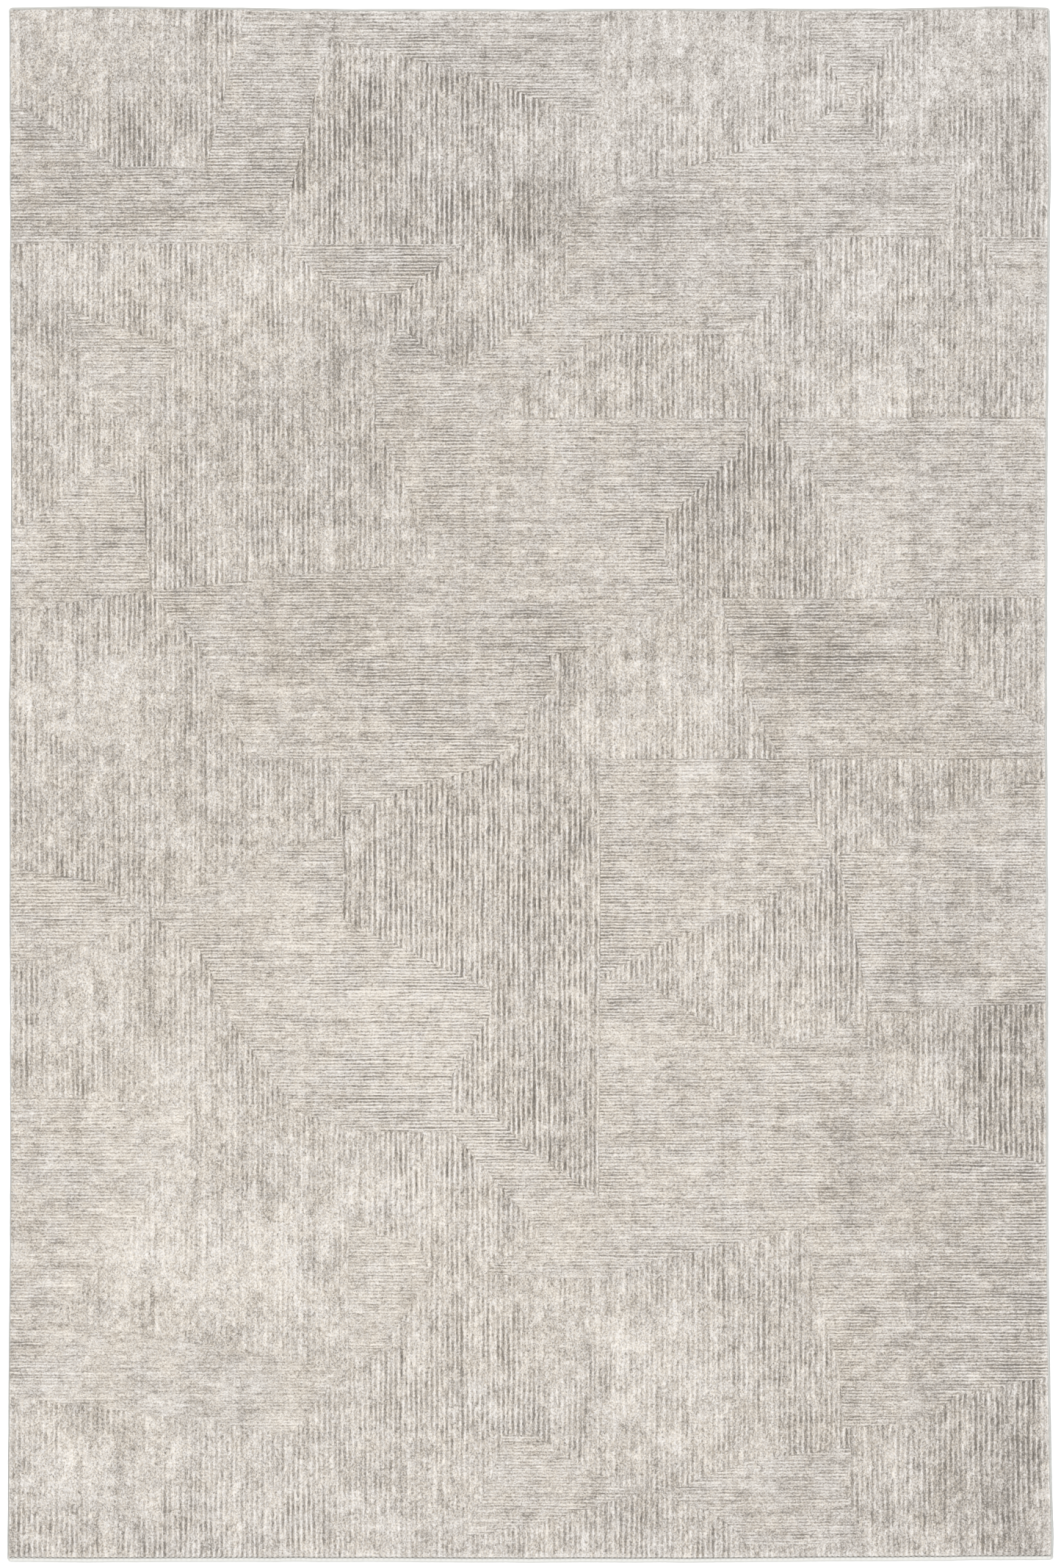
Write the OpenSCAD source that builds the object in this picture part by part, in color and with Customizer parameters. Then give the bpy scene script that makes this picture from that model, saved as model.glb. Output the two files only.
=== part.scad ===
// Area rug with a sculpted, patchworked pile.
// A woven ground carries fields of pile whose ribs run along the rug or across it.
// Thread serging runs over a selvedge cord down both sides, and a folded hem closes both ends.
// Frame: +X across the rug, +Y along it, +Z up from the floor, origin under the middle.

/* [Overall] */
// Width of the rug over its serged sides
rug_w = 1600; // [1000:10:2400]
// Length of the rug over its hemmed ends
rug_l = 2400; // [1400:10:3600]

/* [Ground] */
// Thickness of the size coat on the underside
coat_t = 0.5; // [0.3:0.1:1]
// Thickness of the woven ground
ground_t = 2; // [1.6:0.1:3]

/* [Pile] */
// Height of the pile whose ribs run along the rug, above the ground
long_rib_h = 7.5; // [5:0.5:12]
// Height of the pile whose ribs run across the rug, above the ground
cross_rib_h = 6.5; // [4:0.5:12]

/* [Side serging] */
// Width of the serged roll down each side
serging_w = 5; // [4.5:0.5:10]
// Height of the serged roll and of the hem, above the floor
edge_h = 4.5; // [4.2:0.1:6]
// Thread thickness outside the selvedge cord
serging_wall = 0.8; // [0.5:0.1:1.2]
// Diameter of the cord inside each serged side
cord_d = 2; // [1.6:0.1:2.4]
// Thread between the cord and the ground's edge
cord_gap = 0.3; // [0.2:0.1:0.6]

/* [End hem] */
// Width of the hem seen from above
hem_w = 6; // [4:0.5:12]
// Width of the hem's leg folded under the ground
hem_leg = 25; // [15:1:50]
// Thickness of the hem outside the end of the ground
hem_wall = 1; // [0.6:0.1:2]
// Width of the stitched groove between the hem and the pile
groove_w = 2; // [1.2:0.1:4]
// Distance from one hem stitch to the next
stitch_pitch = 8; // [6:0.5:16]
// Length of one hem stitch
stitch_l = 5; // [3:0.5:5.5]
// Diameter of the hem thread
stitch_d = 1; // [0.6:0.1:1.1]

/* [Corner tacks] */
// Length of a corner tack across the join of serging and hem
tack_l = 8; // [5:0.5:14]
// Height that a corner tack stands above the edge
tack_h = 0.8; // [0.5:0.1:1.5]

/* [Hidden] */
// Layers, up from the floor
ground_top = coat_t + ground_t;
// The pile bed lies inside the serging and the stitched grooves
bed_w = rug_w - 2 * serging_w;
bed_l = rug_l - 2 * (hem_w + groove_w);
// Field outlines are drawn on a square design grid, this many blocks wide and long
BLOCKS = [16, 24];
block = [bed_w / BLOCKS.x, bed_l / BLOCKS.y];
// Distance from the middle of the rug to the ground's side edge and to the selvedge cord
ground_side = rug_w / 2 - serging_wall - cord_d - cord_gap;
cord_x = rug_w / 2 - serging_wall - cord_d / 2;
side_l = rug_l - 2 * hem_w;
corner_r = 1.2;
overshoot = 1;
$fn = 32;

// Fields whose ribs run across the rug, in blocks from the middle of the bed
CROSS_RIB_FIELDS = [
    [[-8, 10.6], [-6.4, 9.6], [-5, 9.6], [-4.4, 12], [-3, 12], [-3.9, 8.4], [-8, 8.4]],
    [[-3, 12], [1.1, 12], [1.1, 10.3], [0, 10.7], [-1, 11.1], [-3.1, 11.6]],
    [[4.2, 12], [5.9, 12], [5, 10.6]],
    [[5, 10.6], [5.6, 9.8], [6.6, 9.6], [6.4, 8.5], [0.6, 8.5], [0.6, 8.9], [1.2, 9.2], [3.8, 10]],
    [[0.6, 8.5], [4.6, 8.5], [3.3, 7], [1.1, 7], [-0.3, 6], [-1.1, 6.4], [0, 7.2], [0.6, 7.6]],
    [[-3.9, 8.4], [-1, 8.4], [-2, 7.6], [-2.9, 7.7]],
    [[7, 8.5], [8, 8.5], [8, 7.4], [7.4, 7.8]],
    [[-7.2, 7.4], [-5.5, 6.8], [-5.6, 6.4], [-6.4, 5.7], [-6.9, 6.5]],
    [[-6.5, 5.1], [-7.7, 4.1], [-8, 4], [-8, 2.7], [-5.9, 3], [-6, 4.4]],
    [[-2, 7.1], [-1.1, 6.4], [-0.3, 6], [-0.3, 5.7], [3.4, 5.7], [3.3, 5.2], [2.1, 4.1], [2.1, 3.5],
        [-1.4, 3.5], [-2, 4.8], [-2.4, 5.6], [-2.3, 6.6]],
    [[-5.9, 3], [-1.4, 3.5], [2.1, 3.5], [2.4, 2.9], [0.9, 2.1], [0.3, 2], [0.4, 1.5], [0, 1.2],
        [-0.1, 0.8], [-0.6, 0.3], [-1.7, 0], [-2.9, -0.5], [-2.9, 0.4], [-4.3, 0.4], [-4.8, 1.3], [-5, 2]],
    [[3.9, 5.7], [8, 5.7], [8, 2.9], [5.8, 2.9], [5.2, 3.8], [4.3, 5], [3.9, 5.4]],
    [[3, 2.9], [6.1, 2.9], [6.4, 2.2], [7, 1.5], [8, 0.9], [8, 0.4], [3.9, 0.4], [3.4, 1.4], [3.1, 2.4]],
    [[1.1, 0.4], [4.3, 0.4], [4.4, -0.5], [4.7, -1.1], [4.5, -1.4], [1.8, -2.6], [1.1, -3]],
    [[4.8, -1.1], [5.8, -0.9], [6.2, -0.5], [8, 0.1], [8, -3.4], [6.2, -3.5], [5.3, -3.6], [5, -2]],
    [[1.1, -3], [1.8, -3.1], [2.9, -3.8], [3.8, -4.1], [5.2, -3.7], [5.4, -4.6], [5.5, -5], [4.9, -6],
        [4.3, -6.9], [1.9, -7.4], [1.1, -7.7]],
    [[5.5, -5], [6.2, -5], [6.6, -5.5], [8, -5.9], [8, -9.2], [6.6, -9.5], [6, -9.9], [4.9, -10],
        [4.8, -9], [4.5, -8], [4.3, -6.9], [4.9, -6]],
    [[1.1, -6.4], [1.1, -7.7], [-0.7, -7.6], [0.2, -7], [-0.3, -6.4], [-1.2, -5.4], [-1.2, -5.1],
        [-0.6, -5.1], [0, -5.7]],
    [[-8, -1.3], [-6.8, -1.5], [-5.9, -2], [-6.8, -2.5], [-8, -2.8]],
    [[-5.9, -2], [-4, -1], [-2.9, -0.8], [-2.9, -2.1], [-1, -3], [-0.6, -3.2], [-0.6, -3.6],
        [-1.2, -4.5], [-1.2, -5.4], [-2.6, -5.4], [-3.6, -5.1], [-4.4, -4], [-4.9, -3.3], [-4.9, -3],
        [-5.1, -2.6]],
    [[-8, -4.8], [-5.4, -5], [-5.3, -5.3], [-5.9, -6.2], [-6.2, -7], [-7.4, -8.3], [-8, -8.4]],
    [[-8, -8.4], [-7.4, -8.3], [-2.9, -9.1], [-3.7, -10.1], [-5, -9.9], [-8, -9.5]],
    [[-2.8, -6.6], [-2.4, -7], [-1.8, -7.1], [-1.5, -7.6], [-2.4, -8.9], [-2.8, -8.9]],
    [[-0.4, -10.1], [0.1, -10.1], [0.8, -10.6], [1.7, -11], [0.4, -11.4], [-1, -11.7], [-0.6, -10.8]],
    [[2.1, -11], [3.4, -10.5], [5, -10.3], [4.9, -11], [5.2, -11.8], [3.4, -11.8], [3, -11.4]],
];

// Fields whose ribs run along the rug: each fills what its outline leaves around the fields before it
LONG_RIB_FIELDS = [
    [[-8, 12], [-4, 12], [-4, 9], [-8, 9]],
    [[-4.5, 12], [1.1, 12], [1.1, 8.4], [-4.5, 8.4]],
    [[1.1, 12], [5, 12], [5, 9.5], [1.1, 9]],
    [[5, 12], [8, 12], [8, 8.5], [5, 8.5]],
    [[3, 8.5], [8, 8.5], [8, 5.7], [-0.3, 5.7], [-0.4, 6.1], [1, 7.1], [3, 7.1]],
    [[-2, 8.4], [1, 8.4], [1, 7.4], [-1, 6.2], [-2, 7]],
    [[-8, 8.4], [-5, 8.4], [-5, 2.9], [-5.9, 3], [-8, 3.2]],
    [[-5, 8.4], [-2, 8.4], [-2, 4.8], [-1.3, 3.4], [-5, 3]],
    [[-8, 3.1], [-5.9, 3], [-5, 2.9], [-5, -1.7], [-5.9, -2], [-8, -2]],
    [[-5, 2.2], [-4.5, 1.2], [-4, 0.5], [-2.9, 0.5], [-2.9, -1], [-5, -1.7]],
    [[-0.5, 0.4], [1.1, 0.4], [1.1, -3.2], [-0.6, -3.2], [-2.9, -2.2], [-2.9, -0.4], [-1.7, 0.1]],
    [[-0.5, 0.4], [3.9, 0.4], [3.6, 1.4], [3, 2.9], [2.3, 2.9], [0.5, 2.2], [-0.3, 1.5]],
    [[-0.6, -3.2], [1.1, -3.2], [1.1, -6.5], [0, -5.8], [-0.6, -5.3], [-1.3, -5.2], [-1.3, -4.5],
        [-0.8, -3.6]],
    [[3.4, 5.7], [3.9, 5.7], [5, 4.6], [6, 2.9], [2.2, 2.9], [2, 4], [3, 5.3]],
    [[6, 2.9], [8, 2.9], [8, 0.8], [6.8, 1.4], [6.2, 2.2]],
    [[4.2, 0.4], [8, 0.4], [8, 0], [6.2, -0.6], [5.8, -1], [4.8, -1.1], [4.7, -1.1], [4.3, -0.5]],
    [[4.7, -1.1], [4.8, -1.1], [5.2, -2], [5.3, -3.6], [5.2, -3.7], [4, -4.2], [2.8, -4], [1.5, -3.2],
        [1.1, -3], [1.5, -2.6], [4.4, -1.2]],
    [[5.3, -3.5], [8, -3.3], [8, -6], [6.5, -5.7], [6.1, -5.1], [5.4, -5.1], [5.2, -4.4], [5.2, -3.7]],
    [[-8, -2.7], [-6.8, -2.4], [-5.9, -2], [-5, -2.5], [-4.7, -3.3], [-4.2, -4], [-3.5, -5], [-5.4, -5],
        [-8, -4.9]],
    [[-5.5, -5], [-3.5, -5], [-2.8, -5.3], [-2.8, -8.9], [-2.9, -9.1], [-5, -8.9], [-7.5, -8.4],
        [-6.5, -7], [-6, -6.2], [-5.5, -5.4]],
    [[-2.8, -5.3], [-1.2, -5.3], [0, -6.4], [0.4, -7], [-0.7, -7.6], [-1.5, -7.6], [-2, -7.2],
        [-2.8, -6.8]],
    [[-8, -9.4], [-5, -9.8], [-3.7, -10], [-2.9, -9.1], [-2.8, -8.9], [-2.4, -8.8], [-1.5, -7.6],
        [-0.7, -7.6], [-0.7, -12], [-8, -12]],
    [[-0.7, -7.5], [1.1, -7.6], [1.9, -7.3], [4.3, -6.8], [4.6, -8], [4.9, -9], [5, -10.3],
        [3.4, -10.6], [2.1, -11], [-0.7, -11]],
    [[4.9, -9.9], [6, -9.8], [6.6, -9.4], [8, -9.1], [8, -12], [-0.7, -12], [-0.7, -11.3],
        [0.4, -11.3], [1.7, -11], [2.1, -11], [3, -11.3], [3.4, -11.7], [4.8, -11.7], [4.8, -10.4]],
];

FIELDS = concat(CROSS_RIB_FIELDS, LONG_RIB_FIELDS);

// A node's name from its kind and its place in the list, counted from 01
function numbered(kind, i) = str(kind, i < 9 ? "0" : "", i + 1);

// Lowest and highest value of one coordinate of an outline
function low(outline, axis) = min([for (p = outline) p[axis]]);
function high(outline, axis) = max([for (p = outline) p[axis]]);

// True where the boxes around two outlines overlap
function boxes_meet(a, b) =
    low(a, 0) < high(b, 0) && low(b, 0) < high(a, 0) && low(a, 1) < high(b, 1) && low(b, 1) < high(a, 1);

// An outline in millimetres
function sized(outline) = [for (p = outline) [p.x * block.x, p.y * block.y]];

// A field's own plan: its outline less every earlier field that reaches it
module field_plan(i) {
    difference() {
        polygon(sized(FIELDS[i]));
        for (j = [0:1:i - 1])
            if (boxes_meet(FIELDS[i], FIELDS[j])) polygon(sized(FIELDS[j]));
    }
}

// One field of pile standing on the ground
module pile_field(i, h) {
    translate([0, 0, ground_top])
        linear_extrude(h)
            field_plan(i);
}

module cross_rib_field(i) {
    color([0.80, 0.77, 0.72])
        pile_field(i, cross_rib_h);
}

module long_rib_field(i) {
    color([0.85, 0.82, 0.77])
        pile_field(len(CROSS_RIB_FIELDS) + i, long_rib_h);
}

// The woven foundation under the whole pile, from cord to cord and hem to hem
module ground_weave() {
    color([0.66, 0.58, 0.46])
        translate([-ground_side, -(rug_l / 2 - hem_wall), coat_t])
            cube([2 * ground_side, rug_l - 2 * hem_wall, ground_t]);
}

// The thin size coat that locks the tufts, between the hems' folded legs
module size_coat() {
    coat_l = rug_l - 2 * hem_leg;
    color([0.82, 0.78, 0.70])
        translate([-bed_w / 2, -coat_l / 2, 0])
            cube([bed_w, coat_l, coat_t]);
}

// A bar's section with its two outer corners rounded: w reaches out, h stands up
module edge_section(w, h) {
    square([w - corner_r, h]);
    translate([0, corner_r])
        square([w, h - 2 * corner_r]);
    for (z = [corner_r, h - corner_r])
        translate([w - corner_r, z])
            circle(corner_r);
}

// The thread roll down the right side, closed over the cord and the ground's edge
module serging() {
    inner_x = rug_w / 2 - serging_w;
    color([0.83, 0.83, 0.81])
        rotate([90, 0, 0])
            translate([inner_x, 0, -side_l / 2])
                linear_extrude(side_l)
                    difference() {
                        edge_section(serging_w, edge_h);
                        translate([-overshoot, coat_t])
                            square([ground_side - inner_x + overshoot, ground_t]);
                        translate([cord_x - inner_x, coat_t + ground_t / 2])
                            circle(d = cord_d);
                    }
}

// The cord of bundled warp ends inside the right serging
module selvedge_cord() {
    color([0.74, 0.72, 0.68])
        translate([cord_x, side_l / 2, coat_t + ground_t / 2])
            rotate([90, 0, 0])
                cylinder(h = side_l, d = cord_d);
}

// The hem over the top end of the ground, with its leg folded under
module end_hem() {
    inner_y = rug_l / 2 - hem_w;
    leg = hem_leg - hem_w;
    color([0.84, 0.84, 0.82]) {
        translate([-rug_w / 2, 0, 0])
            rotate([90, 0, 90])
                linear_extrude(rug_w)
                    translate([inner_y, 0])
                        difference() {
                            edge_section(hem_w, edge_h);
                            translate([-overshoot, coat_t])
                                square([hem_w - hem_wall + overshoot, ground_t]);
                        }
        translate([-bed_w / 2, inner_y - leg, 0])
            cube([bed_w, leg, coat_t]);
    }
}

// The row of stitches lying in the groove along the top hem
module hem_stitches() {
    count = floor((bed_w - stitch_l) / stitch_pitch);
    y = rug_l / 2 - hem_w - groove_w / 2;
    color([0.62, 0.61, 0.58])
        for (k = [0:count])
            translate([(k - count / 2) * stitch_pitch - stitch_l / 2, y, ground_top + stitch_d / 2])
                rotate([0, 90, 0])
                    cylinder(h = stitch_l, d = stitch_d);
}

// Four tacks of thread, one across the join of serging and hem at each corner
module corner_tacks() {
    tack_w = serging_w - 2 * corner_r;
    color([0.78, 0.78, 0.76])
        for (sx = [-1, 1], sy = [-1, 1])
            translate([sx * (rug_w / 2 - serging_w / 2), sy * (rug_l / 2 - hem_w), edge_h + tack_h / 2])
                cube([tack_w, tack_l, tack_h], center = true);
}

size_coat();
ground_weave();
mirror([1, 0, 0]) selvedge_cord();  // selvedge_cord_left
selvedge_cord();  // selvedge_cord_right
mirror([1, 0, 0]) serging();  // serging_left
serging();  // serging_right
end_hem();  // end_hem_top
mirror([0, 1, 0]) end_hem();  // end_hem_bottom
hem_stitches();  // hem_stitches_top
mirror([0, 1, 0]) hem_stitches();  // hem_stitches_bottom
corner_tacks();
for (i = [0:len(CROSS_RIB_FIELDS) - 1])
    cross_rib_field(i);
for (i = [0:len(LONG_RIB_FIELDS) - 1])
    long_rib_field(i);
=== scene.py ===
"""Area rug with a ribbed patchwork pile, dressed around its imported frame.

The frame gives one solid for each field of pile and for each edge part. Here every field becomes a
sheet of ribbed pile, the sides get their wound serging, the ends their taped and stitched hems, and
the underside its woven ground and size coat. Everything is in metres, in the frame's own axes: +X
across the rug, +Y along it and +Z up from the floor.
"""

import logging
import math
from dataclasses import dataclass, field
from enum import Enum

import bmesh
import bpy
import numpy as np
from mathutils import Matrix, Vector


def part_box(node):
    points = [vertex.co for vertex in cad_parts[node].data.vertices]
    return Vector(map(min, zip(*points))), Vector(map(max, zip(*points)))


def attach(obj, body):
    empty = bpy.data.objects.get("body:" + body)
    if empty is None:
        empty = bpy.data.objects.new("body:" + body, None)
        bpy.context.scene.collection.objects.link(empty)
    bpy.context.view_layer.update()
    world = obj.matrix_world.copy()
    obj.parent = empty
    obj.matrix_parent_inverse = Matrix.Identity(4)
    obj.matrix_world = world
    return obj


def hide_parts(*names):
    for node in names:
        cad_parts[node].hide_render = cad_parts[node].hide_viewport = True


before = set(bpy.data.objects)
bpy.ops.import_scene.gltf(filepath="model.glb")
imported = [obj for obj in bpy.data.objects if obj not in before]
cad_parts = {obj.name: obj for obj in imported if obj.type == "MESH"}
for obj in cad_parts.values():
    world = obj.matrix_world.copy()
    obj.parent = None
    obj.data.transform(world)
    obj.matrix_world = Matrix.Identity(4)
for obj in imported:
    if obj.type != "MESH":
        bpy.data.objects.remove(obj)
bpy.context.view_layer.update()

MM = 0.001
SHEET_MAP = (0.005, 0.99, 0.92)  # where a field's top starts on its map, its width and its height
STRIP_MAP = (0.96, 0.03)  # where the strip over it with the field's sides starts, and its height
ROOT = "root"
OWN_MAP = "OFBake"
STUDIO_GAIN = 1.4  # how much brighter than its own colour a surface looks in the studio
WAVE_SCALE = 0.314  # a wave texture's scale for bands a metre apart

log = logging.getLogger("rug")

Array = np.ndarray
BMesh = bmesh.types.BMesh
Colour = tuple[float, float, float]
Material = bpy.types.Material
Mesh = bpy.types.Mesh
Object = bpy.types.Object
Socket = bpy.types.NodeSocket
Stray = tuple[tuple[float, float], ...]


# --- helpers ---


def linear(colour: Colour) -> tuple[float, float, float, float]:
    """Turns a colour as it looks in the bright studio, in sRGB, into the one that a shader takes.

    Args:
        colour: red, green and blue, 0 to 255 a channel.

    Returns:
        The linear red, green and blue that the surface reflects, with an alpha of 1.
    """
    parts = [c / 255 for c in colour]
    parts = [c / 12.92 if c <= 0.04045 else ((c + 0.055) / 1.055) ** 2.4 for c in parts]
    return (*(c / STUDIO_GAIN for c in parts), 1.0)


def smoothstep(low: float, high: float, value: Array) -> Array:
    """Rises smoothly from 0 at low to 1 at high."""
    t = np.clip((value - low) / (high - low), 0, 1)
    return t * t * (3 - 2 * t)


@dataclass(frozen=True)
class Noise:
    """Seeded value noise from -1 to 1, the same on every run."""

    seed: int  # picks one pattern out of many
    wide: float  # size of one cell along X, in metres
    long: float  # size of one cell along Y, in metres

    def at(self, x: Array, y: Array) -> Array:
        """Gives the noise at some places.

        Args:
            x: places along X, in metres.
            y: places along Y, in metres.

        Returns:
            One value from -1 to 1 for each place.
        """
        u, v = x / self.wide, y / self.long
        i, j = np.floor(u).astype(np.int64), np.floor(v).astype(np.int64)
        s, t = u - i, v - j
        s, t = s * s * (3 - 2 * s), t * t * (3 - 2 * t)
        low = self._corner(i, j) * (1 - s) + self._corner(i + 1, j) * s
        high = self._corner(i, j + 1) * (1 - s) + self._corner(i + 1, j + 1) * s
        return low * (1 - t) + high * t

    def _corner(self, i: Array, j: Array) -> Array:
        """Gives each cell corner its own fixed value from -1 to 1.

        Args:
            i: cell numbers along X.
            j: cell numbers along Y.

        Returns:
            One value for each corner.
        """
        h = (i * 374761393 + j * 668265263 + self.seed * 974634777) & 0xFFFFFFFF
        h = ((h ^ (h >> 13)) * 1274126177) & 0xFFFFFFFF
        h = ((h ^ (h >> 15)) * 1103515245) & 0xFFFFFFFF
        return (h ^ (h >> 16)) / 0x7FFFFFFF - 1


def read(items: object, name: str, width: int = 1, kind: type = float) -> Array:
    """Reads one property of all of a mesh's vertices, faces or corners.

    Args:
        items: the mesh's own list of them.
        name: the property's name.
        width: how many numbers it has.
        kind: their type.

    Returns:
        One number for each item, or one row where it has more.
    """
    values = np.zeros(len(items) * width, kind)
    items.foreach_get(name, values)
    return values.reshape(-1, width) if width > 1 else values


def places(mesh: Mesh) -> Array:
    """Reads a mesh's vertices as rows of X, Y and Z."""
    return read(mesh.vertices, "co", 3)


def put_places(mesh: Mesh, co: Array) -> None:
    """Writes rows of X, Y and Z back to a mesh's vertices."""
    mesh.vertices.foreach_set("co", np.ascontiguousarray(co, np.float32).ravel())
    mesh.update()


def put_values(mesh: Mesh, name: str, values: Array) -> None:
    """Stores one number a vertex under a name that a material can read."""
    layer = mesh.attributes.new(name, "FLOAT", "POINT")
    layer.data.foreach_set("value", np.ascontiguousarray(values, np.float32))


def put_map(mesh: Mesh, uv: Array) -> None:
    """Stores a UV map with one pair a face corner."""
    layer = mesh.uv_layers.new(name=OWN_MAP)
    layer.data.foreach_set("uv", np.ascontiguousarray(uv, np.float32).ravel())


def as_object(bm: BMesh, name: str, finish: "Finish") -> Object:
    """Makes a bmesh a scene object with one material, and frees the bmesh.

    Args:
        bm: the finished shape, in the frame's own axes.
        name: the piece's name.
        finish: the finish whose material it wears.

    Returns:
        The new object, at the origin.
    """
    mesh = bpy.data.meshes.new(name)
    bm.to_mesh(mesh)
    bm.free()
    mesh.polygons.foreach_set("use_smooth", np.full(len(mesh.polygons), True))
    mesh.materials.append(finish.material())
    piece = bpy.data.objects.new(name, mesh)
    bpy.context.scene.collection.objects.link(piece)
    return piece


def close_sheet(bm: BMesh, height: float) -> None:
    """Walls an open flat sheet down or up to a height, and closes it there.

    Args:
        bm: the sheet, with one outline.
        height: where the wall ends, along Z.
    """
    rim = [e for e in bm.edges if e.is_boundary]
    wall = bmesh.ops.extrude_edge_only(bm, edges=rim)["geom"]
    for v in wall:
        if isinstance(v, bmesh.types.BMVert):
            v.co.z = height
    bmesh.ops.holes_fill(bm, edges=[e for e in wall if isinstance(e, bmesh.types.BMEdge) and e.is_boundary])
    bmesh.ops.recalc_face_normals(bm, faces=bm.faces)


def join(whole: BMesh, part: BMesh) -> None:
    """Adds one bmesh to another, and frees it.

    Args:
        whole: the bmesh that grows.
        part: the one that it takes in.
    """
    holder = bpy.data.meshes.new("part")
    part.to_mesh(holder)
    part.free()
    whole.from_mesh(holder)
    bpy.data.meshes.remove(holder)


def settle(piece: Object, node: str) -> Object:
    """Makes a piece ride on the rug, in place of a node.

    Args:
        piece: the finished piece.
        node: the node that it stands for.

    Returns:
        The same piece.
    """
    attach(piece, ROOT)
    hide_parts(node)
    log.info("%s: %d faces", piece.name, len(piece.data.polygons))
    return piece


# --- finishes ---


def spaced(inputs: dict) -> dict:
    """Gives the same values under names with a space for each _."""
    return {key.replace("_", " "): value for key, value in inputs.items()}


class Graph:
    """A material's node tree, with short ways to add and join its nodes."""

    def __init__(self, name: str) -> None:
        """Starts an empty material of that name.

        Args:
            name: the material's name.
        """
        self.material = bpy.data.materials.new(name)
        self.material.use_nodes = True
        self.tree = self.material.node_tree
        self.tree.nodes.clear()

    def add(self, kind: str, inputs: dict | None = None, **settings: object) -> bpy.types.Node:
        """Adds a node.

        Args:
            kind: the node's type, without its ShaderNode prefix.
            inputs: a value or another node's socket for each input, by its name or number.
            settings: the node's own properties.

        Returns:
            The new node.
        """
        node = self.tree.nodes.new("ShaderNode" + kind)
        for key, value in settings.items():
            setattr(node, key, value)
        for key, value in (inputs or {}).items():
            if isinstance(value, Socket):
                self.tree.links.new(value, node.inputs[key])
            else:
                node.inputs[key].default_value = value
        return node

    def math(self, operation: str, *values: object) -> Socket:
        """Adds a Math node over numbers or sockets and gives its result."""
        return self.add("Math", dict(enumerate(values)), operation=operation).outputs[0]

    def attribute(self, name: str) -> Socket:
        """Gives the number that each vertex holds under that name."""
        return self.add("Attribute", attribute_name=name).outputs["Fac"]

    def own(self, scale: tuple = (1.0, 1.0, 1.0), turn: tuple = (0.0, 0.0, 0.0)) -> Socket:
        """Gives the piece's own coordinates, scaled along each axis and turned about it."""
        own = self.add("TexCoord").outputs["Object"]
        return self.add("Mapping", {"Vector": own, "Scale": scale, "Rotation": turn}).outputs[0]

    def noise(self, vector: Socket, scale: float, detail: float = 2.0) -> Socket:
        """Gives soft noise from about 0 to 1."""
        inputs = {"Vector": vector, "Scale": scale, "Detail": detail, "Roughness": 0.6}
        return self.add("TexNoise", inputs).outputs["Fac"]

    def bands(self, vector: Socket, scale: float, axis: str, **looks: float) -> Socket:
        """Gives soft bands from 0 to 1 across an axis, with a wave texture's other inputs by name."""
        inputs = {"Vector": vector, "Scale": scale, **spaced(looks)}
        return self.add("TexWave", inputs, wave_type="BANDS", bands_direction=axis).outputs["Fac"]

    def centred(self, value: Socket) -> Socket:
        """Gives a number less a half."""
        return self.math("SUBTRACT", value, 0.5)

    def grey(self, value: Socket) -> Socket:
        """Gives the grey of a number from 0 to 1."""
        return self.add("CombineColor", {0: value, 1: value, 2: value}).outputs[0]

    def cells(self, vector: Socket, scale: float) -> tuple[Socket, ...]:
        """Gives every small cell two numbers of its own from 0 to 1."""
        found = self.add("TexVoronoi", {"Vector": vector, "Scale": scale}, feature="F1")
        return tuple(self.add("SeparateColor", {"Color": found.outputs["Color"]}).outputs[:2])

    def rise(self, value: Socket, low: float, high: float) -> Socket:
        """Rises smoothly from 0 at low to 1 at high."""
        inputs = {"Value": value, "From Min": low, "From Max": high}
        return self.add("MapRange", inputs, interpolation_type="SMOOTHSTEP").outputs[0]

    def total(self, start: object, *terms: tuple[object, object]) -> Socket:
        """Adds to a number the product of each pair.

        Args:
            start: the number to start from.
            terms: pairs of numbers or sockets.

        Returns:
            The sum.
        """
        for a, b in terms:
            start = self.math("MULTIPLY_ADD", a, b, start)
        return start

    def ramp(self, value: Socket, stops: dict[float, Colour]) -> Socket:
        """Turns a number into a colour.

        Args:
            value: the number, from 0 to 1.
            stops: sRGB colours by their place from 0 to 1, at least two.

        Returns:
            The colour.
        """
        node = self.add("ValToRGB", {"Fac": value})
        elements = node.color_ramp.elements
        ordered = sorted(stops.items())
        for element, (place, colour) in zip(elements, (ordered[0], ordered[-1])):
            element.position, element.color = place, linear(colour)
        for place, colour in ordered[1:-1]:
            elements.new(place).color = linear(colour)
        return node.outputs["Color"]

    def mixed(self, share: object, a: object, b: object, blend: str = "MIX") -> Socket:
        """Mixes two colours by a share from 0, all a, to 1, all b."""
        inputs = {0: share, 6: a, 7: b}
        return self.add("Mix", inputs, data_type="RGBA", blend_type=blend).outputs[2]

    def bump(self, height: Socket, depth: float, strength: float = 1.0) -> Socket:
        """Turns a height from 0 to 1 into a normal, with its depth in metres."""
        inputs = {"Height": height, "Distance": depth, "Strength": strength}
        return self.add("Bump", inputs).outputs["Normal"]

    def close(self, **inputs: object) -> Material:
        """Ends the material in a Principled shader.

        Args:
            inputs: its inputs by name, with _ for a space.

        Returns:
            The finished material.
        """
        shader = self.add("BsdfPrincipled", spaced(inputs))
        self.add("OutputMaterial", {"Surface": shader.outputs[0]})
        return self.material


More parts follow.
